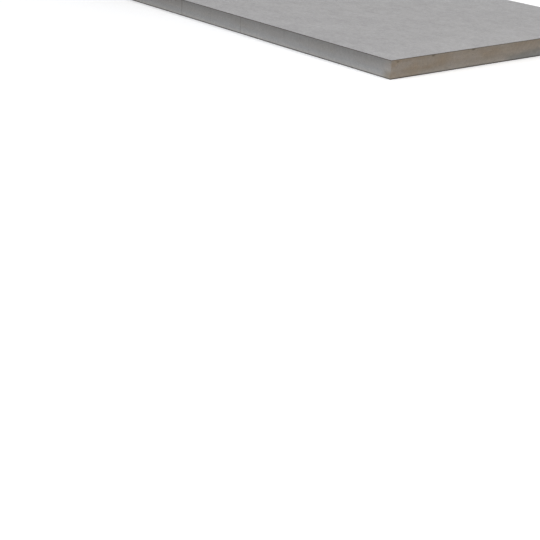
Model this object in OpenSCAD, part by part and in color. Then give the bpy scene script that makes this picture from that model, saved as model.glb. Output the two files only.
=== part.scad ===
// Polyiso insulation board: a flat, square-edged sheet of rigid
// polyisocyanurate foam between two fibre-reinforced felt facers.
//
// Millimetres. The board lies flat on its bottom facer, with its width
// along X, its length along Y and +Z up. The origin is at the middle of
// its underside.

/* [Board] */
// Width of the board, along X
board_width = 1219.2; // [300:0.1:1500]
// Length of the board, along Y
board_length = 2438.4; // [600:0.1:3700]
// Thickness of the board over both facers, along Z
board_thickness = 66.04; // [12:0.01:120]

/* [Facers] */
// Thickness of the facer on each side of the board
facer_thickness = 0.6; // [0.3:0.05:2]

/* [Hidden] */

// The core fills what the two facers leave of the board's thickness.
core_thickness = board_thickness - 2 * facer_thickness;
core_base = facer_thickness;
top_facer_base = core_base + core_thickness;

foam_colour = [0.74, 0.70, 0.62];
facer_colour = [0.65, 0.65, 0.65];

// A layer of the board at its full width and length, from the height base up.
module layer(base, thickness) {
    translate([-board_width / 2, -board_length / 2, base])
        cube([board_width, board_length, thickness]);
}

// The rigid foam, cut square on all four sides.
module foam_core() {
    color(foam_colour) layer(core_base, core_thickness);
}

// The sheet bonded to the foam's upper face.
module top_facer() {
    color(facer_colour) layer(top_facer_base, facer_thickness);
}

// The sheet bonded to the foam's underside, on which the board lies.
module bottom_facer() {
    color(facer_colour) layer(0, facer_thickness);
}

foam_core();
top_facer();
bottom_facer();
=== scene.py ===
"""Dresses a polyiso insulation board: rigid foam between two felt facers.

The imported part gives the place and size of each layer. The foam core gets its cut
sides, with their saw marks, voids, creases and chips, and each facer gets its slightly
wavy sheet and its trimmed rim. Lengths are in metres, with +X across the board, +Y
along it and +Z up.
"""

import logging
import math
from dataclasses import asdict, dataclass
from enum import Enum
from typing import ClassVar

import bpy
import numpy as np
from mathutils import Matrix, Vector
from mathutils.geometry import delaunay_2d_cdt


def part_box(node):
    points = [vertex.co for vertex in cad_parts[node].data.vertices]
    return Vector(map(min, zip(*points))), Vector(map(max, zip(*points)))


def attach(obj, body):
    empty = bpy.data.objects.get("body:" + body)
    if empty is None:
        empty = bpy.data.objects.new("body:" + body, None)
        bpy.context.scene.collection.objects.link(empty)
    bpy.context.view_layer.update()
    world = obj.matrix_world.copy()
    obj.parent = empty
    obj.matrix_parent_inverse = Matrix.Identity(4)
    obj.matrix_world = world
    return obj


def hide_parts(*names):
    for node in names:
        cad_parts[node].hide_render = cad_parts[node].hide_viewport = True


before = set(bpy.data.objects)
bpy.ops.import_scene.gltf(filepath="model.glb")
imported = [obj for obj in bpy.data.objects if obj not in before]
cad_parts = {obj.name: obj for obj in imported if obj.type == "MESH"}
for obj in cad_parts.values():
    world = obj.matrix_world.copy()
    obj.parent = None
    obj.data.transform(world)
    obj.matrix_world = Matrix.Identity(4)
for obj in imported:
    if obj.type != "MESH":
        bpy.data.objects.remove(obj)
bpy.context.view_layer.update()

MM = 0.001
SAME_PLACE_DIGITS = 7
BODY = "root"
HOLLOW_SHADE_MASK = "hollow"
log = logging.getLogger("polyiso_board")

Colour = tuple[float, float, float]
Triple = tuple[float, float, float]
Pair = tuple[float, float]
Faces = list[tuple[int, ...]]
Socket = bpy.types.NodeSocket


# ---------------------------------------------------------------- shared shapes


class Side(Enum):
    """The cut sides of the board, in the order met when walking round it."""

    NEAR_END = 0
    RIGHT_EDGE = 1
    FAR_END = 2
    LEFT_EDGE = 3


class Face(Enum):
    """The broad faces of the board, each with the sign of its outward Z."""

    UPPER = 1
    UNDER = -1


@dataclass(frozen=True)
class SmoothNoise:
    """Smooth seeded noise over a plane, from -1 to 1 with features one unit wide."""

    seed: int
    cells: int = 256

    def at(self, u: np.ndarray, v: np.ndarray) -> np.ndarray:
        """Reads the noise.

        Args:
            u: First coordinates, in feature widths.
            v: Second coordinates, in feature widths.

        Returns:
            One value for each pair of coordinates.
        """
        table = np.random.default_rng(self.seed).uniform(-1.0, 1.0, (self.cells, self.cells))
        column, row = np.floor(u).astype(int), np.floor(v).astype(int)
        a, b = u - column, v - row
        a, b = a * a * (3 - 2 * a), b * b * (3 - 2 * b)

        def corner(right: int, up: int) -> np.ndarray:
            """Returns the table's values at one corner of each cell."""
            return table[(column + right) % self.cells, (row + up) % self.cells]

        low = corner(0, 0) * (1 - a) + corner(1, 0) * a
        high = corner(0, 1) * (1 - a) + corner(1, 1) * a
        return low * (1 - b) + high * b


@dataclass(frozen=True)
class Unevenness:
    """A smooth rise and fall of a surface, with features of a size each way."""

    height: float
    feature_size: Pair
    seed_step: int

    def at(self, seed: int, u: np.ndarray, v: np.ndarray) -> np.ndarray:
        """Works out the rise and fall.

        Args:
            seed: The piece's own seed, to which this layer adds its step.
            u: First coordinates.
            v: Second coordinates.

        Returns:
            How far each place is moved, by up to the height either way.
        """
        long, wide = self.feature_size
        return self.height * SmoothNoise(seed + self.seed_step).at(u / long, v / wide)


@dataclass(frozen=True)
class Outline:
    """The board's rectangle seen from above, walked anticlockwise from its near left corner.

    A place on it is given by its way, the distance walked from that corner.
    """

    low: Vector
    high: Vector

    @property
    def lengths(self) -> np.ndarray:
        """The length of each side, in the order of Side."""
        width, length = self.high.x - self.low.x, self.high.y - self.low.y
        return np.array([width, length, width, length])

    @property
    def starts(self) -> np.ndarray:
        """The way to the start of each side, closed by the whole way round."""
        return np.concatenate([[0.0], np.cumsum(self.lengths)])

    @property
    def perimeter(self) -> float:
        """The distance once round the board."""
        return float(self.starts[-1])

    def way_to(self, side: Side, along: float) -> float:
        """Returns the way to a place on a side."""
        return self.starts[side.value] + along

    def nearest_start(self, way: np.ndarray) -> np.ndarray:
        """Returns the number in starts of the corner nearest to each place."""
        return np.abs(way[:, None] - self.starts[None, :]).argmin(axis=1)

    def corner(self, way: np.ndarray) -> np.ndarray:
        """Returns the number of the nearest corner, from 0 for the near left one."""
        return self.nearest_start(way) % len(Side)

    def past_corner(self, way: np.ndarray) -> np.ndarray:
        """Returns how far each place is past its nearest corner, negative before it."""
        return way - self.starts[self.nearest_start(way)]

    def easing(self, way: np.ndarray, near_left: float, elsewhere: float) -> np.ndarray:
        """Returns the radius of each place's nearest corner."""
        return np.where(self.corner(way) == 0, near_left, elsewhere)

    def bends(self, shares: tuple[float, ...], radius: float) -> np.ndarray:
        """Returns the ways that shape each corner, at shares of a radius before and past it."""
        return (self.starts[:, None] + np.array(shares)[None, :] * radius).ravel()

    def place(self, way: np.ndarray, easing: np.ndarray) -> tuple[np.ndarray, np.ndarray]:
        """Finds places on the outline with its corners eased to a radius.

        Args:
            way: Distances round the outline.
            easing: The radius of each place's nearest corner.

        Returns:
            The places as rows of x and y, and the outward normals as such rows.
        """
        corners = np.array([
            [self.low.x, self.low.y], [self.high.x, self.low.y],
            [self.high.x, self.high.y], [self.low.x, self.high.y],
        ])
        runs = np.array([[1.0, 0.0], [0.0, 1.0], [-1.0, 0.0], [0.0, -1.0]])
        normals = np.array([[0.0, -1.0], [1.0, 0.0], [0.0, 1.0], [-1.0, 0.0]])
        corner, past = self.corner(way), self.past_corner(way)
        before = (corner - 1) % len(Side)
        turn = np.clip(past / easing, -1.0, 1.0)
        angle = (turn + 1.0) * math.pi / 4
        normal = (np.cos(angle)[:, None] * normals[before]
                  + np.sin(angle)[:, None] * normals[corner])
        inset = easing[:, None] * (normals[before] + normals[corner] - normal)
        run = np.where((past > 0)[:, None], runs[corner], runs[before])
        straight = (past - turn * easing)[:, None] * run
        return corners[corner] - inset + straight, normal


def distinct(ways: np.ndarray) -> np.ndarray:
    """Returns ways in order, with each place only once."""
    return np.unique(np.round(ways, SAME_PLACE_DIGITS))


def plain_mesh(name: str, points: np.ndarray, faces: Faces) -> bpy.types.Object:
    """Makes a mesh object and adds it to the scene.

    Args:
        name: The object's name.
        points: Rows of x, y and z.
        faces: Each face as the numbers of its points.

    Returns:
        The new object.
    """
    mesh = bpy.data.meshes.new(name)
    mesh.from_pydata(points.tolist(), [], faces)
    mesh.validate()
    mesh.update()
    piece = bpy.data.objects.new(name, mesh)
    bpy.context.scene.collection.objects.link(piece)
    return piece


def fill_outline(rim: np.ndarray, inner: np.ndarray) -> Faces:
    """Fills a closed outline with triangles.

    Args:
        rim: Rows of the outline's two coordinates, anticlockwise.
        inner: Rows of points inside it.

    Returns:
        Triangles that number the rim's points first and the inner points after them.
    """
    points = [Vector(p) for p in np.vstack([rim, inner]).tolist()]
    loop = [(i, (i + 1) % len(rim)) for i in range(len(rim))]
    inside_only, nearness = 1, 1e-7
    filled = delaunay_2d_cdt(points, loop, [], inside_only, nearness)
    source = [group[0] for group in filled[3]]
    return [tuple(source[i] for i in face) for face in filled[2]]


# ---------------------------------------------------------------- shader wiring


def empty_tree(owner: bpy.types.Material | bpy.types.World) -> bpy.types.NodeTree:
    """Gives a material or a world an empty node tree.

    Args:
        owner: The material or world.

    Returns:
        Its node tree.
    """
    owner.use_nodes = True
    owner.node_tree.nodes.clear()
    return owner.node_tree


class Wiring:
    """Adds nodes to a node tree and joins them."""

    def __init__(self, tree: bpy.types.NodeTree) -> None:
        """Keeps the tree."""
        self.tree = tree

    def add(self, kind: str, **settings: object) -> bpy.types.Node:
        """Adds a node.

        Args:
            kind: The node's type.
            settings: Its properties, by name.

        Returns:
            The node.
        """
        node = self.tree.nodes.new(kind)
        for key, value in settings.items():
            setattr(node, key, value)
        return node

    def feed(self, target: Socket, source: object) -> None:
        """Joins a socket to a target, or sets the target to a value.

        Args:
            target: The input that is fed.
            source: A socket or a value.
        """
        if isinstance(source, Socket):
            self.tree.links.new(source, target)
        else:
            target.default_value = source

    def add_fed(self, kind: str, values: tuple[object, ...], **settings: object) -> bpy.types.Node:
        """Adds a node and feeds its first inputs.

        Args:
            kind: The node's type.
            values: Sockets or values, in the order of the node's inputs.
            settings: The node's properties, by name.

        Returns:
            The node.
        """
        node = self.add(kind, **settings)
        for target, value in zip(node.inputs, values):
            self.feed(target, value)
        return node

    def maths(self, operation: str, *values: object, clamp: bool = False) -> Socket:
        """Works out a number from others, by a Math node's operation."""
        node = self.add_fed("ShaderNodeMath", values, operation=operation, use_clamp=clamp)
        return node.outputs[0]

    def vector(self, operation: str, *values: object) -> Socket:
        """Works out a vector, or a LENGTH, by a Vector Math node's operation."""
        node = self.add_fed("ShaderNodeVectorMath", values, operation=operation)
        return node.outputs["Value" if operation == "LENGTH" else "Vector"]

    def combined(self, *values: object) -> Socket:
        """Makes a vector of three numbers."""
        return self.add_fed("ShaderNodeCombineXYZ", values).outputs[0]

    def separated(self, vector: Socket) -> tuple[Socket, ...]:
        """Splits a vector into its three numbers.

        Args:
            vector: The socket of the vector.

        Returns:
            The sockets of x, y and z.
        """
        node = self.add("ShaderNodeSeparateXYZ")
        self.feed(node.inputs[0], vector)
        return tuple(node.outputs)

    def span(self, value: Socket, low: object, high: object, start: object = 0.0,
             end: object = 1.0, smooth: bool = True) -> Socket:
        """Maps a value's range onto another, and holds it at the ends.

        Args:
            value: The socket that is read.
            low: The value that becomes start.
            high: The value that becomes end.
            start: The result at low.
            end: The result at high.
            smooth: Whether the ends are eased.

        Returns:
            The socket that holds the result.
        """
        kind = "SMOOTHSTEP" if smooth else "LINEAR"
        node = self.add_fed("ShaderNodeMapRange", (value, low, high, start, end),
                            interpolation_type=kind)
        return node.outputs["Result"]

    def total(self, *parts: tuple[Socket, float]) -> Socket:
        """Adds up numbers.

        Args:
            parts: The socket of each number, with the share of it that counts.

        Returns:
            The socket that holds the sum.
        """
        sum_so_far: object = 0.0
        for value, share in parts:
            sum_so_far = self.maths("MULTIPLY_ADD", value, share, sum_so_far)
        return sum_so_far

    def product(self, *factors: Socket) -> Socket:
        """Multiplies numbers.

        Args:
            factors: The sockets of the numbers.

        Returns:
            The socket that holds the product.
        """
        result = factors[0]
        for factor in factors[1:]:
            result = self.maths("MULTIPLY", result, factor)
        return result

    def blend(self, share: object, first: object, second: object, mode: str = "MIX") -> Socket:
        """Mixes two colours.

        Args:
            share: How much of the second colour, or of its effect, there is.
            first: A socket, or a colour.
            second: A socket, or a colour.
            mode: The Mix node's blend type.

        Returns:
            The socket that holds the mixed colour.
        """
        node = self.add("ShaderNodeMix", data_type="RGBA", blend_type=mode)
        self.feed(node.inputs["Factor"], share)
        for target, given in ((node.inputs[6], first), (node.inputs[7], second)):
            self.feed(target, (*given, 1.0) if isinstance(given, tuple) else given)
        return node.outputs[2]

    def shaded(self, colour: Socket, factor: Socket) -> Socket:
        """Multiplies a colour by a number, which may be over 1."""
        return self.blend(1.0, colour, self.combined(factor, factor, factor), "MULTIPLY")

    def noise(self, place: Socket, **inputs: object) -> bpy.types.Node:
        """Adds a noise texture with features one unit wide, unless Scale says another size.

        Args:
            place: The position that it is read at.
            inputs: Its other inputs, by name. W is for a texture with a seed.

        Returns:
            The texture's node.
        """
        dimensions = "4D" if "W" in inputs else "3D"
        node = self.add("ShaderNodeTexNoise", noise_dimensions=dimensions)
        for name, value in {"Vector": place, "Scale": 1.0, **inputs}.items():
            self.feed(node.inputs[name], value)
        return node

    def nudged(self, position: Socket, noise: bpy.types.Node, reach: Socket) -> Socket:
        """Moves a position about by a noise, by up to half of the reach on each axis."""
        centred = self.vector("SUBTRACT", noise.outputs["Color"], (0.5, 0.5, 0.5))
        return self.vector("MULTIPLY_ADD", centred, reach, position)

    def group(self, tree: bpy.types.NodeTree, **values: object) -> Socket:
        """Places a node group.

        Args:
            tree: The group's tree.
            values: A socket or value for each of its inputs, by name in small letters and
                with _ for a space.

        Returns:
            The socket that the group puts out.
        """
        node = self.add("ShaderNodeGroup", node_tree=tree)
        for name, value in values.items():
            self.feed(node.inputs[name.replace("_", " ").capitalize()], value)
        return node.outputs[0]


class GroupDraft(Wiring):
    """A shader node group in the making, which puts out one number for each place."""

    def __init__(self, name: str, output: str, inputs: dict[str, object]) -> None:
        """Starts the group.

        Args:
            name: The group's name.
            output: The name of what it puts out.
            inputs: The default of each input but Position, by name: a number or a vector.
        """
        super().__init__(bpy.data.node_groups.new(name, "ShaderNodeTree"))
        for label, default in {"Position": (0.0, 0.0, 0.0), **inputs}.items():
            kind = "NodeSocketVector" if isinstance(default, tuple) else "NodeSocketFloat"
            self.new_socket(label, "INPUT", kind).default_value = default
        self.new_socket(output, "OUTPUT", "NodeSocketFloat")
        self.given = self.add("NodeGroupInput").outputs
        self.result = self.add("NodeGroupOutput").inputs[output]

    def new_socket(self, name: str, side: str, kind: str) -> bpy.types.NodeTreeInterfaceSocket:
        """Adds an input or output to the group."""
        return self.tree.interface.new_socket(name=name, in_out=side, socket_type=kind)


# ---------------------------------------------------------------- surface effects


class Effect(Enum):
    """The effects that the materials are built up from, each by its node group's name."""

    CLOUDS = "cloudy_tone"
    FLECKS = "scattered_flecks"
    STRANDS = "felt_strands"
    RUBBED_ENDS = "painted_light_at_ends"


Effects = dict[Effect, bpy.types.NodeTree]


@dataclass(frozen=True)
class Layer:
    """A use of an effect in a material. Its fields are the inputs of the node group."""

    effect: ClassVar[Effect]


@dataclass(frozen=True)
class Clouds(Layer):
    """Softly patched tone. Grain is how strong its finer detail is."""

    effect: ClassVar[Effect] = Effect.CLOUDS
    patches_per_metre: Triple
    detail: float
    seed: float
    contrast: float
    grain: float = 0.55


@dataclass(frozen=True)
class Flecks(Layer):
    """Small spots in a share of a grid's cells, sized and ragged in cell widths."""

    effect: ClassVar[Effect] = Effect.FLECKS
    cells_per_metre: Triple
    share: float
    radius: float
    ragged: float


@dataclass(frozen=True)
class Strands(Layer):
    """Fibres that lie every way in the XY plane. Scarcity is from 0.5 to 0.7."""

    effect: ClassVar[Effect] = Effect.STRANDS
    strands_per_metre: float
    length_ratio: float
    scarcity: float
    wander: float
    seed: float = 0.0


@dataclass(frozen=True)
class PaintedEndLight(Layer):
    """Painted light: a surface that grows paler towards the board's two ends."""

    effect: ClassVar[Effect] = Effect.RUBBED_ENDS
    end_reach: float
    rubbed_length: float
    lift: float


def build_cloud_group() -> bpy.types.NodeTree:
    """Builds the group for cloudy patches of tone.

    Returns:
        A group that puts out a mask from 0 to 1, softly patched at the given size.
    """
    full_spread = 2.4
    draft = GroupDraft(Effect.CLOUDS.value, "Mask", {
        "Patches per metre": (10.0, 10.0, 10.0),
        "Detail": 3.0,
        "Grain": 0.55,
        "Seed": 0.0,
        "Contrast": 1.0,
    })
    given = draft.given
    place = draft.vector("MULTIPLY", given["Position"], given["Patches per metre"])
    noise = draft.noise(place, W=given["Seed"], Detail=given["Detail"], Roughness=given["Grain"])
    centred = draft.maths("SUBTRACT", noise.outputs["Fac"], 0.5)
    spread = draft.product(centred, draft.maths("MULTIPLY", given["Contrast"], full_spread))
    draft.feed(draft.result, draft.maths("ADD", spread, 0.5, clamp=True))
    return draft.tree


def build_fleck_group() -> bpy.types.NodeTree:
    """Builds the group for scattered flecks and pores.

    Returns:
        A group that puts out a mask of small spots, each in some of the cells of a grid.
    """
    outline_detail, smallest, soft_edge = 4.3, 0.35, 0.6
    draft = GroupDraft(Effect.FLECKS.value, "Mask", {
        "Cells per metre": (200.0, 200.0, 200.0),
        "Share": 0.3,
        "Radius": 0.3,
        "Ragged": 0.3,
    })
    given = draft.given
    place = draft.vector("MULTIPLY", given["Position"], given["Cells per metre"])
    shift = draft.noise(place, Scale=outline_detail, Detail=1.0)
    cells = draft.add("ShaderNodeTexVoronoi", feature="F1")
    draft.feed(cells.inputs["Vector"], draft.nudged(place, shift, given["Ragged"]))
    draft.feed(cells.inputs["Scale"], 1.0)
    parts = draft.add("ShaderNodeSeparateColor")
    draft.feed(parts.inputs[0], cells.outputs["Color"])
    chosen = draft.maths("LESS_THAN", parts.outputs[0], given["Share"])
    size = draft.product(given["Radius"], draft.span(parts.outputs[1], 0.0, 1.0, smallest, 1.0))
    outward = draft.maths("DIVIDE", cells.outputs["Distance"], size)
    depth = draft.maths("SUBTRACT", 1.0, outward, clamp=True)
    draft.feed(draft.result, draft.product(chosen, draft.span(depth, 0.0, soft_edge)))
    return draft.tree


def build_strand_group() -> bpy.types.NodeTree:
    """Builds the group for the fibres of a felt.

    Returns:
        A group that puts out a web of strands that wander a little. Length ratio is a
        strand's length in widths.
    """
    directions = (8.0, 52.0, 97.0, 139.0)
    bends_per_metre, seed_step, sharpness = 70.0, 3.7, 9.0
    draft = GroupDraft(Effect.STRANDS.value, "Mask", {
        "Strands per metre": 500.0,
        "Length ratio": 12.0,
        "Scarcity": 0.62,
        "Wander": 0.004,
        "Seed": 0.0,
    })
    given = draft.given
    bend = draft.noise(given["Position"], Scale=bends_per_metre, Detail=1.0)
    bent = draft.nudged(given["Position"], bend, given["Wander"])
    along = draft.maths("DIVIDE", given["Strands per metre"], given["Length ratio"])
    web: object = 0.0
    for number, direction in enumerate(directions):
        turn = draft.add("ShaderNodeVectorRotate", rotation_type="Z_AXIS")
        draft.feed(turn.inputs["Vector"], bent)
        draft.feed(turn.inputs["Angle"], math.radians(direction))
        scale = draft.combined(along, given["Strands per metre"], along)
        noise = draft.noise(draft.vector("MULTIPLY", turn.outputs[0], scale), Detail=0.0,
                            W=draft.maths("ADD", given["Seed"], seed_step * number))
        above = draft.maths("SUBTRACT", noise.outputs["Fac"], given["Scarcity"])
        web = draft.maths("MAXIMUM", web, draft.maths("MULTIPLY", above, sharpness, clamp=True))
    draft.feed(draft.result, web)
    return draft.tree


def build_end_light_group() -> bpy.types.NodeTree:
    """Builds the group for the painted light at the board's ends.

    Returns:
        A group that puts out what a colour is multiplied by: 1 in the middle of the board,
        and more over the Rubbed length before End reach, up to Lift.
    """
    draft = GroupDraft(Effect.RUBBED_ENDS.value, "Factor", {
        "End reach": 1.0,
        "Rubbed length": 0.3,
        "Lift": 1.1,
    })
    given = draft.given
    along = draft.separated(given["Position"])[1]
    first = draft.maths("SUBTRACT", given["End reach"], given["Rubbed length"])
    factor = draft.span(draft.maths("ABSOLUTE", along), first, given["End reach"],
                        1.0, given["Lift"])
    draft.feed(draft.result, factor)
    return draft.tree


def build_effects() -> Effects:
    """Builds the node group of each effect, once for all materials.

    Returns:
        The groups' trees.
    """
    return {
        Effect.CLOUDS: build_cloud_group(),
        Effect.FLECKS: build_fleck_group(),
        Effect.STRANDS: build_strand_group(),
        Effect.RUBBED_ENDS: build_end_light_group(),
    }


@dataclass(frozen=True)
class Tint:
    """A colour that is laid over another, at a share of its full strength."""

    colour: Colour
    share: float


class MaterialDraft(Wiring):
    """A material in the making, with a Principled shader."""

    def __init__(self, name: str, effects: Effects) -> None:
        """Starts the material.

        Args:
            name: The material's name.
            effects: The effects' node groups.
        """
        self.material = bpy.data.materials.new(name)
        super().__init__(empty_tree(self.material))
        self.effects = effects
        self.shader = self.add("ShaderNodeBsdfPrincipled")
        surface = self.add("ShaderNodeOutputMaterial")
        self.feed(surface.inputs["Surface"], self.shader.outputs["BSDF"])
        self.place = self.add("ShaderNodeTexCoord").outputs["Object"]

    def layer(self, use: Layer) -> Socket:
        """Places an effect's node group, and returns what it puts out."""
        return self.group(self.effects[use.effect], position=self.place, **asdict(use))

    def tinted(self, colour: Socket, mask: Socket, tint: Tint) -> Socket:
        """Lays a tint over a colour where a mask is."""
        return self.blend(self.maths("MULTIPLY", mask, tint.share), colour, tint.colour)

    def surface(self, colour: Socket, roughness: object, specular: float) -> None:
        """Sets the shader's colour, roughness and specular level.

        Args:
            colour: The socket of the colour.
            roughness: A socket or a number.
            specular: The specular level.
        """
        self.feed(self.shader.inputs["Base Color"], colour)
        self.feed(self.shader.inputs["Roughness"], roughness)
        self.feed(self.shader.inputs["Specular IOR Level"], specular)

    def bump(self, height: Socket, depth: float, strength: float) -> None:
        """Feeds the shader's normal from a height.

        Args:
            height: The socket of the height, from 0 to 1.
            depth: How far the surface rises from height 0 to height 1.
            strength: The Bump node's strength.
        """
        bump = self.add("ShaderNodeBump")
        self.feed(bump.inputs["Strength"], strength)
        self.feed(bump.inputs["Distance"], depth)
        self.feed(bump.inputs["Height"], height)
        self.feed(self.shader.inputs["Normal"], bump.outputs["Normal"])


# ---------------------------------------------------------------- finishes


@dataclass(frozen=True)
class FeltFinish:
    """Grey felt of recycled paper and glass fibre, with painted light that makes it a little paler
    at the board's ends.

    Its tone runs from dark to light, and its roughness changes over the tone range.
    """

    effects: Effects
    end_reach: float
    light: Colour = (0.434, 0.429, 0.427)
    dark: Colour = (0.313, 0.303, 0.307)
    broad: Clouds = Clouds((6.5, 3.6, 6.5), detail=2.0, seed=1.3, contrast=1.2)
    mottle: Clouds = Clouds((24.0, 15.0, 24.0), detail=3.0, seed=5.1, contrast=1.6)
    curd: Clouds = Clouds((95.0, 70.0, 95.0), detail=5.0, seed=7.7, contrast=1.9, grain=0.72)
    pulp: Clouds = Clouds((650.0, 650.0, 650.0), detail=4.0, seed=9.4, contrast=1.8, grain=0.7)
    broad_share: float = 0.09
    mottle_share: float = 0.28
    curd_share: float = 0.48
    pulp_share: float = 0.16
    paper: Strands = Strands(620.0, length_ratio=7.0, scarcity=0.59, wander=0.003, seed=21.0)
    glass: Strands = Strands(1100.0, length_ratio=26.0, scarcity=0.61, wander=0.005)
    specks: Flecks = Flecks((150.0, 120.0, 150.0), share=0.26, radius=0.28, ragged=0.55)
    paper_tint: Tint = Tint((0.240, 0.235, 0.230), 0.22)
    glass_tint: Tint = Tint((0.560, 0.560, 0.555), 0.24)
    speck_tint: Tint = Tint((0.15, 0.145, 0.14), 0.55)
    # Painted light: the felt grows paler towards the board's ends.
    rubbed_length: float = 0.34
    rubbed_lift: float = 1.055
    tone_range: Pair = (0.2, 0.8)
    roughness: Pair = (0.96, 0.86)
    specular: float = 0.22
    pulp_relief: float = 0.6
    fibre_relief: float = 0.5
    curd_relief: float = 0.7
    relief_depth: float = 0.20 * MM
    bump_strength: float = 0.8

    def material(self) -> bpy.types.Material:
        """Builds the felt's material.

        Returns:
            The material.
        """
        draft = MaterialDraft("facer_felt", self.effects)
        curd, pulp = draft.layer(self.curd), draft.layer(self.pulp)
        paper, glass = draft.layer(self.paper), draft.layer(self.glass)
        tone = draft.total((draft.layer(self.mottle), self.mottle_share),
                           (draft.layer(self.broad), self.broad_share),
                           (curd, self.curd_share), (pulp, self.pulp_share))
        colour = draft.blend(tone, self.dark, self.light)
        colour = draft.tinted(colour, paper, self.paper_tint)
        colour = draft.tinted(colour, glass, self.glass_tint)
        colour = draft.tinted(colour, draft.layer(self.specks), self.speck_tint)
        # Painted light, paler towards the board's ends.
        end_light = PaintedEndLight(self.end_reach, self.rubbed_length, self.rubbed_lift)
        roughness = draft.span(tone, *self.tone_range, *self.roughness)
        draft.surface(draft.shaded(colour, draft.layer(end_light)), roughness, self.specular)
        fibres = draft.maths("MAXIMUM", glass, paper)
        relief = draft.total((pulp, self.pulp_relief), (fibres, self.fibre_relief),
                             (curd, self.curd_relief))
        draft.bump(relief, self.relief_depth, self.bump_strength)
        return draft.material


@dataclass(frozen=True)
class TrimFinish:
    """The cut edge of a facer, dark with the felt's end grain and darker still with painted shade.
    """

    effects: Effects
    light: Colour = (0.090, 0.084, 0.078)
    dark: Colour = (0.032, 0.030, 0.028)
    plies: Clouds = Clouds((140.0, 140.0, 5000.0), detail=2.0, seed=2.2, contrast=1.2)
    roughness: float = 0.95
    specular: float = 0.15
    relief_depth: float = 0.10 * MM
    bump_strength: float = 0.7

    def material(self) -> bpy.types.Material:
        """Builds the cut edge's material.

        Returns:
            The material.
        """
        draft = MaterialDraft("facer_cut_edge", self.effects)
        plies = draft.layer(self.plies)
        draft.surface(draft.blend(plies, self.dark, self.light), self.roughness, self.specular)
        draft.bump(plies, self.relief_depth, self.bump_strength)
        return draft.material


@dataclass(frozen=True)
class Mark:
    """A soft-edged spot that tints the foam, placed from the core's near left corner."""

    centre: Triple
    reach: Triple
    tint: Colour
    even_share: float = 0.0


@dataclass(frozen=True)
class Skin:
    """A darker band of foam along a facer, solid for a way in and gone at its full depth: denser
    foam, with painted contact shade in the band along the base.
    """

    tint: Colour
    solid: float
    depth: float


@dataclass(frozen=True)
class FoamMasks:
    """The sockets of what varies over the cut foam."""

    long_side: Socket
    under_top: Socket
    over_base: Socket
    from_end: Socket
    foot: Socket
    patches: Socket
    curd: Socket
    cells: Socket
    saw_lines: Socket
    pores: Socket


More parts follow.
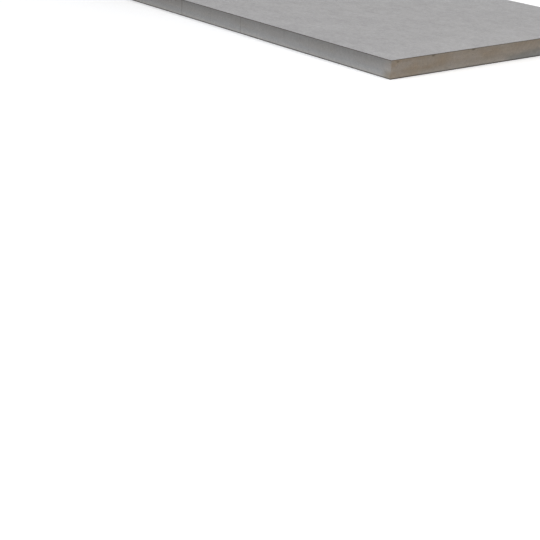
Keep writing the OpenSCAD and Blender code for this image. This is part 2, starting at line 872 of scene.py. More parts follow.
@dataclass(frozen=True)
class FoamFinish:
    """Sawn polyiso foam: cream to tan, with fine cells, denser skins at the facers and painted
    contact shade along its base.

    A long side differs from an end: it is greyer with dust and painted cool light, and painted
    shade darkens it more towards its top.
    Each pair is a range, from what it is at the first place to what it becomes.
    """

    effects: Effects
    low: Vector
    high: Vector
    cream: Colour = (0.598, 0.532, 0.466)
    tan: Colour = (0.538, 0.440, 0.338)
    patches: Clouds = Clouds((10.0, 8.0, 24.0), detail=3.0, seed=4.4, contrast=1.2)
    curd: Clouds = Clouds((110.0, 110.0, 110.0), detail=5.0, seed=6.3, contrast=1.6, grain=0.68)
    cells: Clouds = Clouds((1100.0, 1100.0, 1100.0), detail=4.0, seed=8.2, contrast=1.8,
                           grain=0.72)
    saw_lines: Clouds = Clouds((5.0, 5.0, 520.0), detail=3.0, seed=2.9, contrast=1.6, grain=0.65)
    pores: Flecks = Flecks((330.0, 330.0, 260.0), share=0.24, radius=0.32, ragged=0.6)
    turned_to_side: Pair = (0.35, 0.8)
    # The grey of the dust, also laid on as painted grey and cool light.
    dust: Colour = (0.420, 0.412, 0.392)
    # Dust on the long sides with painted cool light, less of both near the corners.
    handled_length: float = 60.0 * MM
    side_dust: Pair = (0.35, 0.75)
    # Painted grey bounce light, towards the bottom of every side.
    low_dust_height: float = 38.0 * MM
    low_dust: float = 0.42
    # Painted bounce light at the foot: the foam grows lighter, and the long sides warmer, towards
    # the bottom.
    foot_height: float = 26.0 * MM
    foot_tint: Colour = (1.0, 0.955, 0.905)
    foot_lift: float = 1.19
    marks: tuple[Mark, ...] = (
        Mark(centre=(0.052, 0.0, 0.043), reach=(0.115, 0.016, 0.115),
             tint=(0.985, 0.925, 0.855)),
        # Painted shade: a cool, grey-blue darkening low on the right part of the near end.
        Mark(centre=(0.740, 0.0, 0.0), reach=(0.300, 0.050, 0.052),
             tint=(0.74, 0.81, 0.89), even_share=0.15),
        # Darker and browner low on the left side, by the near left corner.
        Mark(centre=(0.0, 0.010, 0.0), reach=(0.004, 0.036, 0.055),
             tint=(0.76, 0.73, 0.66), even_share=0.10),
    )
    mark_raggedness: float = 0.9
    top_skin: Skin = Skin((0.150, 0.125, 0.105), solid=0.0, depth=3.4 * MM)
    # Painted contact shade: a near-black band along the foot, over the denser foam.
    base_skin: Skin = Skin((0.070, 0.060, 0.052), solid=1.4 * MM, depth=4.3 * MM)
    skin_share: float = 0.90
    # Painted shade: the foam darkens towards its top, much more on the long sides than on the
    # ends.
    fade_depth: float = 54.0 * MM
    side_fade: Pair = (0.68, 1.20)
    end_fade: Pair = (0.90, 1.035)
    # Painted light: the foam grows paler towards the board's ends.
    rubbed_length: float = 0.33
    rubbed_lift: float = 1.10
    curd_shade: Pair = (0.935, 1.065)
    saw_shade: Pair = (0.965, 1.03)
    cell_shade: Pair = (0.90, 1.09)
    # Painted shade in the pores.
    pore_tint: Tint = Tint((0.150, 0.115, 0.080), 0.35)
    # Painted shade in the hollows, by their depth.
    hollow_tint: Tint = Tint((0.150, 0.115, 0.080), 0.62)
    roughness: Pair = (0.98, 0.88)
    specular: float = 0.2
    pore_relief: float = -0.8
    saw_relief: float = 0.5
    relief_depth: float = 0.30 * MM
    bump_strength: float = 0.8

    def material(self) -> bpy.types.Material:
        """Builds the foam's material.

        Returns:
            The material.
        """
        draft = MaterialDraft("cut_foam", self.effects)
        masks = self.masks(draft)
        colour = self.dusted(draft, masks)
        for mark in self.marks:
            colour = self.marked(draft, masks, colour, mark)
        # Darker bands of denser foam under the upper facer and along the base; the base one also
        # carries painted contact shade.
        for inward, skin in ((masks.under_top, self.top_skin), (masks.over_base, self.base_skin)):
            share = draft.span(inward, skin.solid, skin.depth, self.skin_share, 0.0)
            colour = draft.blend(share, colour, skin.tint)
        colour = draft.shaded(colour, self.shade(draft, masks))
        # Painted shade in the pores.
        colour = draft.tinted(colour, masks.pores, self.pore_tint)
        # Painted shade in the hollows, by their depth.
        hollow_shading = draft.add("ShaderNodeAttribute", attribute_name=HOLLOW_SHADE_MASK).outputs["Fac"]
        colour = draft.tinted(colour, hollow_shading, self.hollow_tint)
        roughness = draft.span(masks.cells, 0.0, 1.0, *self.roughness)
        draft.surface(colour, roughness, self.specular)
        relief = draft.total((masks.cells, 1.0), (masks.pores, self.pore_relief),
                             (masks.saw_lines, self.saw_relief))
        draft.bump(relief, self.relief_depth, self.bump_strength)
        return draft.material

    def masks(self, draft: MaterialDraft) -> FoamMasks:
        """Wires up what varies over the cut foam.

        Args:
            draft: The foam's material.

        Returns:
            The sockets of the distances and masks.
        """
        _, along, height = draft.separated(draft.place)
        normal = draft.add("ShaderNodeNewGeometry").outputs["True Normal"]
        facing = draft.maths("ABSOLUTE", draft.separated(normal)[0])
        over_base = draft.maths("SUBTRACT", height, self.low.z)
        return FoamMasks(
            long_side=draft.span(facing, *self.turned_to_side),
            under_top=draft.maths("SUBTRACT", self.high.z, height),
            over_base=over_base,
            from_end=draft.maths("SUBTRACT", self.high.y, draft.maths("ABSOLUTE", along)),
            foot=draft.span(over_base, 0.0, self.foot_height, 1.0, 0.0),
            patches=draft.layer(self.patches),
            curd=draft.layer(self.curd),
            cells=draft.layer(self.cells),
            saw_lines=draft.layer(self.saw_lines),
            pores=draft.layer(self.pores),
        )

    def dusted(self, draft: MaterialDraft, masks: FoamMasks) -> Socket:
        """Wires up the foam's colour, with its dust and painted light: cool on the long sides,
        grey low down, and warmer at the foot of the long sides.

        Args:
            draft: The foam's material.
            masks: What varies over the foam.

        Returns:
            The socket of the colour.
        """
        colour = draft.blend(masks.patches, self.tan, self.cream)
        low_dust = draft.span(masks.over_base, 0.0, self.low_dust_height, self.low_dust, 0.0)
        side_dust = draft.span(masks.from_end, 0.0, self.handled_length, *self.side_dust)
        dust = draft.maths("MULTIPLY_ADD", masks.long_side, side_dust, low_dust, clamp=True)
        colour = draft.blend(dust, colour, self.dust)
        warmed = draft.product(masks.foot, masks.long_side)
        return draft.blend(warmed, colour, self.foot_tint, "MULTIPLY")

    def marked(self, draft: MaterialDraft, masks: FoamMasks, colour: Socket,
               mark: Mark) -> Socket:
        """Tints a colour with one mark, whose outline the foam's patches make ragged.

        Args:
            draft: The foam's material.
            masks: What varies over the foam.
            colour: The socket of the colour before the mark.
            mark: The mark.

        Returns:
            The socket of the colour with the mark.
        """
        away = draft.vector("SUBTRACT", draft.place, self.low + Vector(mark.centre))
        distance = draft.vector("LENGTH", draft.vector("DIVIDE", away, mark.reach))
        centred = draft.maths("SUBTRACT", masks.patches, 0.5)
        ragged = draft.maths("MULTIPLY_ADD", centred, self.mark_raggedness, distance)
        share = draft.span(ragged, mark.even_share, 1.0, 1.0, 0.0)
        return draft.blend(share, colour, mark.tint, "MULTIPLY")

    def shade(self, draft: MaterialDraft, masks: FoamMasks) -> Socket:
        """Wires up how much lighter or darker each place is than the foam's colour: tone that
        varies at random, with painted shade towards the top, and painted light towards the ends
        and at the foot.

        Args:
            draft: The foam's material.
            masks: What varies over the foam.

        Returns:
            The socket of what the colour is multiplied by.
        """
        side, end = (draft.span(masks.under_top, 0.0, self.fade_depth, *fade, smooth=False)
                     for fade in (self.side_fade, self.end_fade))
        difference = draft.maths("SUBTRACT", side, end)
        return draft.product(
            draft.maths("MULTIPLY_ADD", masks.long_side, difference, end),
            draft.span(masks.curd, 0.0, 1.0, *self.curd_shade, smooth=False),
            draft.span(masks.saw_lines, 0.0, 1.0, *self.saw_shade),
            draft.span(masks.cells, 0.0, 1.0, *self.cell_shade),
            draft.layer(PaintedEndLight(self.high.y, self.rubbed_length, self.rubbed_lift)),
            draft.span(masks.foot, 0.0, 1.0, 1.0, self.foot_lift, smooth=False),
        )


# ---------------------------------------------------------------- the board


@dataclass(frozen=True)
class Hollow:
    """A void or chip in a cut side: where its middle is on that side, and its size.

    It is a bowl whose wall slopes inwards from its rim. The rim, the wall's width and the
    rings of mesh points, each with its count, are in half widths. Painted shade darkens the
    bowl, and its floor is fully shaded where it is as deep as the full shade depth.
    """

    side: Side
    along: float
    height: float
    width: float
    tall: float
    depth: float
    rim: ClassVar[float] = 1.15
    wall: ClassVar[float] = 0.5
    dark_depth: ClassVar[float] = 1.5 * MM
    rings: ClassVar[tuple[tuple[float, int], ...]] = (
        (0.0, 1), (0.45, 6), (0.8, 9), (1.0, 12), (1.2, 12),
    )

    def mesh_points(self, middle: float) -> list[tuple[float, float]]:
        """Places the rings of points that shape the bowl.

        Args:
            middle: The way to the hollow's middle.

        Returns:
            The way and height of each point.
        """
        points = []
        for share, count in self.rings:
            for step in range(count):
                angle = 2 * math.pi * (step + share) / count
                points.append((middle + share * self.width / 2 * math.cos(angle),
                               self.height + share * self.tall / 2 * math.sin(angle)))
        return points

    def bowl(self, away: np.ndarray, height: np.ndarray) -> np.ndarray:
        """Works out how deep places are in the bowl.

        Args:
            away: Distances from the middle, along the side.
            height: Heights above the core's base.

        Returns:
            0 outside the bowl and 1 on its floor.
        """
        reach = np.hypot(away / (self.width / 2), (height - self.height) / (self.tall / 2))
        return np.clip(self.rim - reach, 0.0, self.wall) / self.wall

    @property
    def darkness(self) -> float:
        """How dark the painted shade on the floor of the bowl is, from 0 to 1."""
        return min(1.0, self.depth / self.dark_depth)


@dataclass(frozen=True)
class NearChip:
    """A chip in the near end, placed from its left corner and down from the upper facer."""

    along: float
    below_top: float
    width: float
    tall: float
    depth: float


@dataclass(frozen=True)
class Crease:
    """An upright crease in the left side."""

    from_near_end: float
    width: float
    depth: float


@dataclass
class FoamCore:
    """The foam core, sawn square on its four sides.

    Its sides are meshed as one unrolled strip, in columns and rows of points that stand
    closer together at the corners and arrises. Clearances from a corner are in radii of the
    near left one, and the jitter is a share of the column pitch.
    """

    low: Vector
    high: Vector
    column_pitch: float = 3.6 * MM
    row_pitch: float = 3.1 * MM
    row_margin: float = 4.5 * MM
    arris_rows: tuple[float, ...] = (0.0, 0.8 * MM, 2.0 * MM)
    corner_bends: tuple[float, ...] = (-1.0, -0.6, -0.25, 0.0, 0.25, 0.6, 1.0)
    column_clearance: float = 2.0
    jitter_clearance: float = 3.0
    jitter: float = 0.3
    ease: float = 1.2 * MM
    near_left_ease: float = 3.2 * MM
    crush_share: float = 0.3
    crush_size: float = 14 * MM
    crush_seed_step: int = 9
    crush_row_step: float = 7.3
    set_back: float = 0.30 * MM
    sawn: tuple[Unevenness, ...] = (
        Unevenness(0.22 * MM, feature_size=(0.19, 0.055), seed_step=0),
        Unevenness(0.10 * MM, feature_size=(0.11, 3.4 * MM), seed_step=5),
        Unevenness(0.10 * MM, feature_size=(2.9 * MM, 2.9 * MM), seed_step=6),
    )
    corner_fade: float = 12 * MM
    corner_calm: float = 0.4
    near_chips: tuple[NearChip, ...] = (
        NearChip(30 * MM, below_top=9.0 * MM, width=12 * MM, tall=8.0 * MM, depth=0.8 * MM),
        NearChip(193 * MM, below_top=5.5 * MM, width=16 * MM, tall=4.6 * MM, depth=1.7 * MM),
        NearChip(386 * MM, below_top=5.3 * MM, width=20 * MM, tall=4.6 * MM, depth=1.8 * MM),
    )
    creases: tuple[Crease, ...] = (
        Crease(0.445, width=3.0 * MM, depth=0.35 * MM),
        Crease(0.869, width=5.0 * MM, depth=0.65 * MM),
        Crease(1.076, width=3.0 * MM, depth=0.35 * MM),
        Crease(1.288, width=8.0 * MM, depth=0.68 * MM),
    )
    crease_margin: float = 3.5 * MM
    crease_step: float = 5.0 * MM
    crease_tall: float = 9.0 * MM
    corner_margin: float = 20 * MM
    void_count: int = 240
    void_margin: float = 5 * MM
    void_size: Pair = (1.6 * MM, 3.6 * MM)
    void_tall_share: Pair = (0.6, 1.1)
    void_depth_share: Pair = (0.25, 0.5)
    chip_count: int = 60
    chip_upper_share: float = 0.7
    chip_inset: float = 0.5 * MM
    chip_width: Pair = (3.0 * MM, 10.0 * MM)
    chip_tall: Pair = (1.5 * MM, 3.0 * MM)
    chip_depth: Pair = (0.6 * MM, 1.6 * MM)
    hollow_margin: float = 0.3 * MM
    sharp_angle: float = 48.0
    seed: int = 31

    def __post_init__(self) -> None:
        """Works out the outline and places the hollows."""
        self.outline = Outline(self.low, self.high)
        self.thickness = self.high.z - self.low.z
        self.hollows = (self.chips_under_facer() + self.upright_creases()
                        + self.scattered_voids() + self.scattered_chips())

    def chips_under_facer(self) -> list[Hollow]:
        """Places the chips under the upper facer at the near end.

        Returns:
            A hollow for each chip.
        """
        return [
            Hollow(Side.NEAR_END, chip.along, self.thickness - chip.below_top, chip.width,
                   chip.tall, chip.depth)
            for chip in self.near_chips
        ]

    def upright_creases(self) -> list[Hollow]:
        """Places the upright creases in the left side.

        Returns:
            A column of small hollows for each crease.
        """
        length = self.outline.lengths[Side.LEFT_EDGE.value]
        heights = np.arange(self.crease_margin, self.thickness - self.crease_margin,
                            self.crease_step)
        return [
            Hollow(Side.LEFT_EDGE, length - crease.from_near_end, height, crease.width,
                   self.crease_tall, crease.depth)
            for crease in self.creases for height in heights
        ]

    def random_place(self, rng: np.random.Generator) -> tuple[Side, float]:
        """Picks a place on the cut sides, clear of their corners.

        Args:
            rng: Where the random numbers come from.

        Returns:
            The side and the distance along it.
        """
        way = rng.uniform(0, self.outline.perimeter)
        side = Side(int(np.searchsorted(self.outline.starts, way) - 1))
        length = self.outline.lengths[side.value]
        return side, rng.uniform(self.corner_margin, length - self.corner_margin)

    def scattered_voids(self) -> list[Hollow]:
        """Spreads small blown voids over the four sides.

        Returns:
            The voids.
        """
        rng = np.random.default_rng(self.seed)
        voids = []
        for _ in range(self.void_count):
            side, along = self.random_place(rng)
            size = rng.uniform(*self.void_size)
            height = rng.uniform(self.void_margin, self.thickness - self.void_margin)
            tall = size * rng.uniform(*self.void_tall_share)
            depth = size * rng.uniform(*self.void_depth_share)
            voids.append(Hollow(side, along, height, size, tall, depth))
        return voids

    def scattered_chips(self) -> list[Hollow]:
        """Spreads small chips along the upper and lower arrises.

        Returns:
            The chips.
        """
        rng = np.random.default_rng(self.seed + 1)
        chips = []
        for _ in range(self.chip_count):
            side, along = self.random_place(rng)
            upper = rng.uniform() < self.chip_upper_share
            height = self.thickness - self.chip_inset if upper else self.chip_inset
            size = (rng.uniform(*sizes)
                    for sizes in (self.chip_width, self.chip_tall, self.chip_depth))
            chips.append(Hollow(side, along, height, *size))
        return chips

    def strip_columns(self) -> np.ndarray:
        """Lays out the columns of the strip.

        Returns:
            The way to each column, from 0 to the whole way round.
        """
        clear = self.column_clearance * self.near_left_ease
        even = [np.arange(start + clear, start + length - clear, self.column_pitch)
                for start, length in zip(self.outline.starts, self.outline.lengths)]
        bends = self.outline.bends(self.corner_bends, self.near_left_ease)
        ways = distinct(np.concatenate([*even, bends]))
        ways = ways[(ways >= 0) & (ways <= self.outline.perimeter)]
        ways[0], ways[-1] = 0.0, self.outline.perimeter
        return ways

    def strip_rows(self) -> np.ndarray:
        """Lays out the rows of the strip.

        Returns:
            The height of each row above the core's base.
        """
        arris = np.array(self.arris_rows)
        low, high = self.row_margin, self.thickness - self.row_margin
        even = np.linspace(low, high, round((high - low) / self.row_pitch))
        return np.concatenate([arris, even, self.thickness - arris[::-1]])

    def strip_points(self) -> tuple[np.ndarray, np.ndarray]:
        """Lays out the points of the cut sides as one unrolled strip.

        Returns:
            The strip's closed outline and its inner points, as rows of distance round the
            board and height above the core's base.
        """
        ways, rows = self.strip_columns(), self.strip_rows()
        rim = np.vstack([
            np.column_stack([ways, np.zeros(len(ways))]),
            np.column_stack([np.full(len(rows) - 2, ways[-1]), rows[1:-1]]),
            np.column_stack([ways[::-1], np.full(len(ways), rows[-1])]),
            np.column_stack([np.zeros(len(rows) - 2), rows[-2:0:-1]]),
        ])
        rng = np.random.default_rng(self.seed + 2)
        way, height = (g.ravel() for g in np.meshgrid(ways[1:-1], rows[1:-1], indexing="ij"))
        past_corner = np.abs(self.outline.past_corner(way))
        loose = past_corner > self.jitter_clearance * self.near_left_ease
        way = way + loose * rng.uniform(-self.jitter, self.jitter, way.shape) * self.column_pitch
        inner = np.column_stack([way, height])
        return rim, np.vstack([inner, self.hollow_points()])

    def hollow_points(self) -> np.ndarray:
        """Collects the extra points round and in the hollows.

        Returns:
            Rows of distance round the board and height.
        """
        points = np.array([
            point for hollow in self.hollows
            for point in hollow.mesh_points(self.outline.way_to(hollow.side, hollow.along))
        ])
        height, margin = points[:, 1], self.hollow_margin
        return points[(height > margin) & (height < self.thickness - margin)]

    def relief(self, way: np.ndarray, height: np.ndarray) -> tuple[np.ndarray, np.ndarray]:
        """Works out how far the sawn surface lies inside the board's outline.

        Args:
            way: Distances round the board.
            height: Heights above the core's base.

        Returns:
            The inset of each place, and how much painted shade it gets in a hollow, from 0 to 1.
        """
        past_corner = np.abs(self.outline.past_corner(way))
        growth = np.clip(past_corner / self.corner_fade - self.corner_calm, 0.0, 1.0)
        uneven = sum(layer.at(self.seed, way, height) for layer in self.sawn)
        inset = self.set_back + growth * np.maximum(uneven, -self.set_back)
        shade_in_hollows = np.zeros_like(inset)
        for hollow in self.hollows:
            away = way - self.outline.way_to(hollow.side, hollow.along)
            near = np.abs(away) < hollow.width
            bowl = hollow.bowl(away[near], height[near])
            inset[near] += hollow.depth * bowl
            shade_in_hollows[near] = np.maximum(shade_in_hollows[near], bowl * hollow.darkness)
        return inset, shade_in_hollows

    def corner_radii(self, way: np.ndarray, height: np.ndarray) -> np.ndarray:
        """Works out the radius of the upright corners, which are crushed unevenly.

        Args:
            way: Distances round the board.
            height: Heights above the core's base.

        Returns:
            The radius of each place's nearest corner.
        """
        row = self.outline.corner(way) * self.crush_row_step
        noise = SmoothNoise(self.seed + self.crush_seed_step)
        crush = self.crush_share * noise.at(height / self.crush_size, row)
        return self.outline.easing(way, self.near_left_ease, self.ease) * (1 + crush)

    def build(self) -> bpy.types.Object:
        """Builds the core as one closed mesh.

        Returns:
            The core, with the painted shade of its hollows also stored as a point attribute.
        """
        rim, inner = self.strip_points()
        way, height = np.vstack([rim, inner]).T
        inset, shade_in_hollows = self.relief(way, height)
        flat, normal = self.outline.place(way, self.corner_radii(way, height))
        flat = flat - normal * inset[:, None]
        points = np.column_stack([flat, self.low.z + height])
        joined = self.join_ends(way, height)
        faces = [tuple(joined[i] for i in face) for face in fill_outline(rim, inner)]
        for level in (0.0, self.thickness):
            edge = [i for i in range(len(rim)) if height[i] == level and joined[i] == i]
            edge.sort(key=lambda i: way[i], reverse=level == 0.0)
            faces.append(tuple(edge))
        used = sorted({i for face in faces for i in face})
        renumber = {old: new for new, old in enumerate(used)}
        piece = plain_mesh("foam_core_cut", points[used],
                           [tuple(renumber[i] for i in face) for face in faces])
        hollow = piece.data.attributes.new(HOLLOW_SHADE_MASK, "FLOAT", "POINT")
        hollow.data.foreach_set("value", shade_in_hollows[used].astype(np.float32))
        piece.data.polygons.foreach_set("use_smooth", [True] * len(piece.data.polygons))
        piece.data.set_sharp_from_angle(angle=math.radians(self.sharp_angle))
        return piece

    def join_ends(self, way: np.ndarray, height: np.ndarray) -> list[int]:
        """Joins the strip's end to its start.

        Args:
            way: Distances round the board.
            height: Heights above the core's base.

        Returns:
            Each point's number, or that of the strip's start at the same height for its end.
        """
        levels = np.round(height, SAME_PLACE_DIGITS)
        starts = {level: i for i, level in enumerate(levels) if way[i] == 0.0}
        return [starts[level] if way[i] == self.outline.perimeter else i
                for i, level in enumerate(levels)]

    def dress(self, piece: bpy.types.Object, effects: Effects) -> None:
        """Gives the core its finish."""
        piece.data.materials.append(FoamFinish(effects, self.low, self.high).material())


@dataclass
class Facer:
    """A felt facer: a thin sheet, slightly wavy, with a trimmed rim.

    The clearance of the rim's even points from a corner is in radii of the near left one,
    the jitter is a share of the sheet pitch, and the rag layers are shares of ragged.
    """

    name: str
    face: Face
    low: Vector
    high: Vector
    rim_pitch: float = 3.0 * MM
    sheet_pitch: float = 9.5 * MM
    sheet_margin: float = 5 * MM
    jitter: float = 0.25
    corner_bends: tuple[float, ...] = (-1.0, -0.5, 0.0, 0.5, 1.0)
    rim_clearance: float = 1.5
    ease: float = 1.0 * MM
    near_left_ease: float = 1.4 * MM
    ragged: float = 0.22 * MM
    rag_layers: tuple[Unevenness, ...] = (
        Unevenness(0.5, feature_size=(5 * MM, 1.0), seed_step=0),
        Unevenness(0.5, feature_size=(0.12, 1.0), seed_step=1),
    )
    nick_count: int = 90
    nick_width: Pair = (2.0 * MM, 8.0 * MM)
    nick_depth: Pair = (0.3 * MM, 1.3 * MM)
    waves: tuple[Unevenness, ...] = (
        Unevenness(0.075 * MM, feature_size=(0.22, 0.034), seed_step=4),
        Unevenness(0.11 * MM, feature_size=(0.16, 0.30), seed_step=5),
        Unevenness(0.03 * MM, feature_size=(0.024, 0.031), seed_step=6),
    )
    sharp_angle: float = 40.0
    seed: int = 71

    def __post_init__(self) -> None:
        """Works out the outline."""
        self.outline = Outline(self.low, self.high)

    def rim_ways(self) -> np.ndarray:
        """Lays out the points of the rim.

        Returns:
            The way to each point, in order.
        """
        perimeter = self.outline.perimeter
        count = round(perimeter / self.rim_pitch)
        even = np.arange(count) * perimeter / count
        clear = np.abs(self.outline.past_corner(even)) > self.rim_clearance * self.near_left_ease
        bends = self.outline.bends(self.corner_bends, self.near_left_ease)
        return distinct(np.concatenate([even[clear], bends % perimeter]))

    def trimmed_rim(self) -> np.ndarray:
        """Lays out the trimmed rim, with its small nicks.

        Returns:
            Rows of x and y, anticlockwise.
        """
        way = self.rim_ways()
        easing = self.outline.easing(way, self.near_left_ease, self.ease)
        place, normal = self.outline.place(way, easing)
        flat = np.zeros_like(way)
        inset = self.ragged * sum((layer.at(self.seed, way, flat) for layer in self.rag_layers),
                                  start=1.0)
        rng = np.random.default_rng(self.seed + 2)
        for middle in rng.uniform(0, self.outline.perimeter, self.nick_count):
            width, depth = rng.uniform(*self.nick_width), rng.uniform(*self.nick_depth)
            inset += depth * np.clip(1 - np.abs(way - middle) / width, 0, 1)
        inset -= inset.min()
        return place - normal * inset[:, None]

    def sheet_points(self) -> np.ndarray:
        """Lays out the points inside the rim.

        Returns:
            Rows of x and y.
        """
        margin, pitch = self.sheet_margin, self.sheet_pitch
        across = np.arange(self.low.x + margin, self.high.x - margin, pitch)
        along = np.arange(self.low.y + margin, self.high.y - margin, pitch)
        x, y = (g.ravel() for g in np.meshgrid(across, along, indexing="ij"))
        rng = np.random.default_rng(self.seed + 3)
        shift = rng.uniform(-self.jitter, self.jitter, (len(x), 2)) * pitch
        return np.column_stack([x, y]) + shift

    def sag(self, place: np.ndarray) -> np.ndarray:
        """Works out how far the outer surface lies inside the facer's full height.

        Args:
            place: Rows of x and y.

        Returns:
            The distance at each place.
        """
        sag = sum(layer.at(self.seed, place[:, 0], place[:, 1]) for layer in self.waves)
        return sag - sag.min()

    def build(self) -> bpy.types.Object:
        """Builds the facer as one closed mesh.

        Returns:
            The facer, with the faces of its cut edge in the second material slot.
        """
        rim, inner = self.trimmed_rim(), self.sheet_points()
        upward = self.face is Face.UPPER
        outer_z, bond_z = (self.high.z, self.low.z) if upward else (self.low.z, self.high.z)
        place = np.vstack([rim, inner])
        outer = np.column_stack([place, outer_z - self.face.value * self.sag(place)])
        bond = np.column_stack([rim, np.full(len(rim), bond_z)])
        first = len(outer)
        broad = fill_outline(rim, inner)
        broad += [tuple(first + i for i in reversed(face))
                  for face in fill_outline(rim, np.empty((0, 2)))]
        band = [(first + i, first + j, j, i)
                for i, j in ((i, (i + 1) % len(rim)) for i in range(len(rim)))]
        faces = broad + band if upward else [face[::-1] for face in broad + band]
        piece = plain_mesh(self.name, np.vstack([outer, bond]), faces)
        smooth = [True] * len(broad) + [False] * len(band)
        piece.data.polygons.foreach_set("use_smooth", smooth)
        slots = [0] * len(broad) + [1] * len(band)
        piece.data.polygons.foreach_set("material_index", slots)
        piece.data.set_sharp_from_angle(angle=math.radians(self.sharp_angle))
        return piece

    def dress(self, piece: bpy.types.Object, felt: bpy.types.Material,
              trim: bpy.types.Material) -> None:
        """Gives the facer its felt, and its cut edge the trim."""
        piece.data.materials.append(felt)
        piece.data.materials.append(trim)


@dataclass
class InsulationBoard:
    """The whole board: its core and its two facers, each in its CAD node's place."""

    effects: Effects
    upper_seed: int = 71
    under_seed: int = 171

    def build(self) -> None:
        """Builds the three layers and gives them their finishes."""
        _, far_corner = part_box("top_facer")
        felt = FeltFinish(self.effects, far_corner.y).material()
        trim = TrimFinish(self.effects).material()
        core = FoamCore(*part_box("foam_core"))
        piece = core.build()
        core.dress(piece, self.effects)
        self.stand_in(piece, "foam_core")
        for node, face, seed in (("top_facer", Face.UPPER, self.upper_seed),
                                 ("bottom_facer", Face.UNDER, self.under_seed)):
            facer = Facer(f"{node}_felt", face, *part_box(node), seed=seed)
            piece = facer.build()
            facer.dress(piece, felt, trim)
            self.stand_in(piece, node)

    def stand_in(self, piece: bpy.types.Object, node: str) -> None:
        """Sets a piece on the board's body in place of a CAD node.

        Args:
            piece: The piece.
            node: The CAD node that it stands for.
        """
        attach(piece, BODY)
        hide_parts(node)
        triangles = sum(len(p.vertices) - 2 for p in piece.data.polygons)
        log.info("%s stands for %s: %d triangles", piece.name, node, triangles)


# ---------------------------------------------------------------- the studio


@dataclass(frozen=True)
class Camera:
    """The camera, placed from the board's near left corner at floor level."""

    left: float = 2.794
    in_front: float = 3.0433
    height: float = 0.9783
    heading: float = 37.21
    tilt_down: float = 22.216
    roll: float = 1.657
    lens: float = 82.99
    sensor: float = 36.0

    def build(self) -> bpy.types.Object:
        """Builds the camera and makes it the scene's own.

        Returns:
            The camera.
        """
        low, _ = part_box("bottom_facer")
        heading, tilt, roll = (math.radians(a) for a in (self.heading, self.tilt_down, self.roll))
        ahead = Vector((math.sin(heading) * math.cos(tilt), math.cos(heading) * math.cos(tilt),
                        -math.sin(tilt)))
        level = Vector((math.cos(heading), -math.sin(heading), 0.0))
        above = level.cross(ahead)
        right = level * math.cos(roll) + above * math.sin(roll)
        up = above * math.cos(roll) - level * math.sin(roll)
        data = bpy.data.cameras.new("board_camera")
        data.lens, data.sensor_width = self.lens, self.sensor
        camera = bpy.data.objects.new("board_camera", data)
        turn = Matrix((right, up, -ahead)).transposed().to_4x4()
        eye = Vector((low.x - self.left, low.y - self.in_front, low.z + self.height))
        camera.matrix_world = Matrix.Translation(eye) @ turn
        bpy.context.scene.collection.objects.link(camera)
        bpy.context.scene.camera = camera
        return camera


@dataclass(frozen=True)
class Softbox:
    """A square area lamp, placed from the board's near left corner and aimed at a point."""

    name: str
    place: Triple
    aim: Triple
    size: float
    power: float
    tint: Colour

    def build(self, corner: Vector) -> bpy.types.Object:
        """Hangs the lamp.

        Args:
            corner: The board's near left corner on the floor.

        Returns:
            The lamp, which the camera doesn't see.
        """
        data = bpy.data.lights.new(self.name, "AREA")
        data.shape, data.size = "SQUARE", self.size
        data.energy, data.color = self.power, self.tint
        lamp = bpy.data.objects.new(self.name, data)
        lamp.location = corner + Vector(self.place)
        aim = Vector(self.aim) - Vector(self.place)
        lamp.rotation_euler = aim.to_track_quat("-Z", "Y").to_euler()
        lamp.visible_camera = False
        bpy.context.scene.collection.objects.link(lamp)
        return lamp


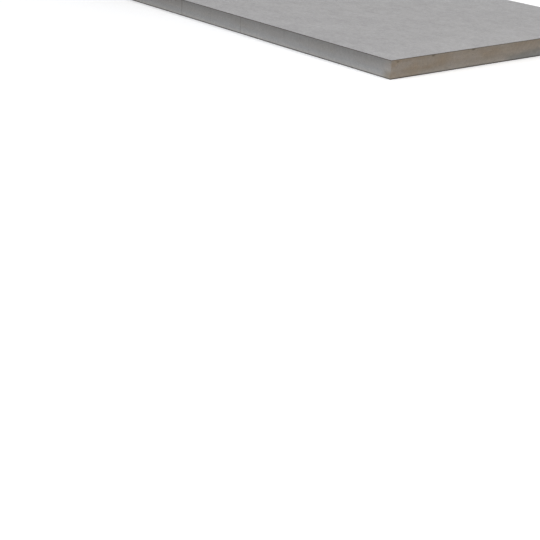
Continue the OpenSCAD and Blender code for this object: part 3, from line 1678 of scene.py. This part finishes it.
@dataclass(frozen=True)
class Studio:
    """A white floor, an even sky, a softbox over each end and a cool one at each long side."""

    floor_half: float = 40.0
    floor_drop: float = 0.2 * MM
    floor_tone: float = 0.30
    floor_shown: float = 0.95
    near_glow: float = 0.14
    far_glow: float = 0.55
    glow_spread: Pair = (0.8, 2.4)
    sky_level: float = 0.44
    softboxes: tuple[Softbox, ...] = (
        Softbox("near_softbox", place=(0.40, 0.0, 3.4), aim=(0.40, 0.0, 0.0),
                size=2.1, power=51.5, tint=(1.0, 0.985, 0.965)),
        Softbox("far_softbox", place=(0.60, 3.0, 3.0), aim=(0.60, 3.0, 0.0),
                size=1.6, power=15.0, tint=(1.0, 0.985, 0.965)),
        Softbox("left_softbox", place=(-1.9, 0.55, 0.8), aim=(0.0, 0.45, 0.0),
                size=1.5, power=13.6, tint=(0.71, 0.80, 0.98)),
        Softbox("right_softbox", place=(2.9, 1.2, 0.7), aim=(1.22, 1.2, 0.0),
                size=1.4, power=11.5, tint=(0.80, 0.87, 0.98)),
    )

    def floor(self) -> None:
        """Lays the floor just under the board."""
        half, drop = self.floor_half, self.floor_drop
        corners = np.array([[-half, -half, -drop], [half, -half, -drop],
                            [half, half, -drop], [-half, half, -drop]])
        floor = plain_mesh("studio_floor", corners, [(0, 1, 2, 3)])
        floor.data.materials.append(self.floor_white())

    def floor_white(self) -> bpy.types.Material:
        """Builds the floor's material: white to the eye, though it still takes shadows.

        Returns:
            The material, which throws only a little light back at the board.
        """
        material = bpy.data.materials.new("studio_white")
        wiring = Wiring(empty_tree(material))
        dull, shown = (wiring.add("ShaderNodeBsdfDiffuse") for _ in range(2))
        wiring.feed(dull.inputs["Color"], (self.floor_tone,) * 3 + (1.0,))
        wiring.feed(shown.inputs["Color"], (self.floor_shown,) * 3 + (1.0,))
        place = wiring.add("ShaderNodeTexCoord").outputs["Object"]
        glow = wiring.add("ShaderNodeEmission")
        wiring.feed(glow.inputs["Strength"], wiring.span(
            wiring.vector("LENGTH", place), *self.glow_spread, self.near_glow, self.far_glow))
        bright = wiring.add_fed("ShaderNodeAddShader", (shown.outputs[0], glow.outputs[0]))
        choice = wiring.add_fed("ShaderNodeMixShader", (
            self.seen_directly(wiring), dull.outputs[0], bright.outputs[0]))
        wiring.add_fed("ShaderNodeOutputMaterial", (choice.outputs[0],))
        return material

    def seen_directly(self, wiring: Wiring) -> Socket:
        """Tells rays that show the background in the picture from the rest.

        Args:
            wiring: The wiring of the floor or the sky.

        Returns:
            The socket of a number, 1 for such rays and 0 for the rest.
        """
        path = wiring.add("ShaderNodeLightPath").outputs
        mirrored = wiring.maths("MAXIMUM", path["Is Glossy Ray"], path["Is Transmission Ray"])
        return wiring.maths("MAXIMUM", path["Is Camera Ray"], mirrored)

    def sky(self) -> None:
        """Sets the even sky, which the camera sees as white."""
        world = bpy.data.worlds.new("studio_sky")
        wiring = Wiring(empty_tree(world))
        strength = wiring.span(self.seen_directly(wiring), 0.0, 1.0, self.sky_level, 1.0,
                               smooth=False)
        sky = wiring.add_fed("ShaderNodeBackground", ((1.0, 1.0, 1.0, 1.0), strength))
        wiring.add_fed("ShaderNodeOutputWorld", (sky.outputs[0],))
        bpy.context.scene.world = world

    def build(self) -> None:
        """Builds the floor, the sky and the softboxes."""
        self.floor()
        self.sky()
        low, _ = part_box("bottom_facer")
        for softbox in self.softboxes:
            softbox.build(low)
        bpy.context.scene.view_settings.view_transform = "Standard"


def main() -> None:
    """Builds the camera, the studio and the board."""
    logging.basicConfig(level=logging.INFO, format="%(name)s: %(message)s")
    Camera().build()
    Studio().build()
    InsulationBoard(build_effects()).build()


if __name__ == "__main__":
    main()
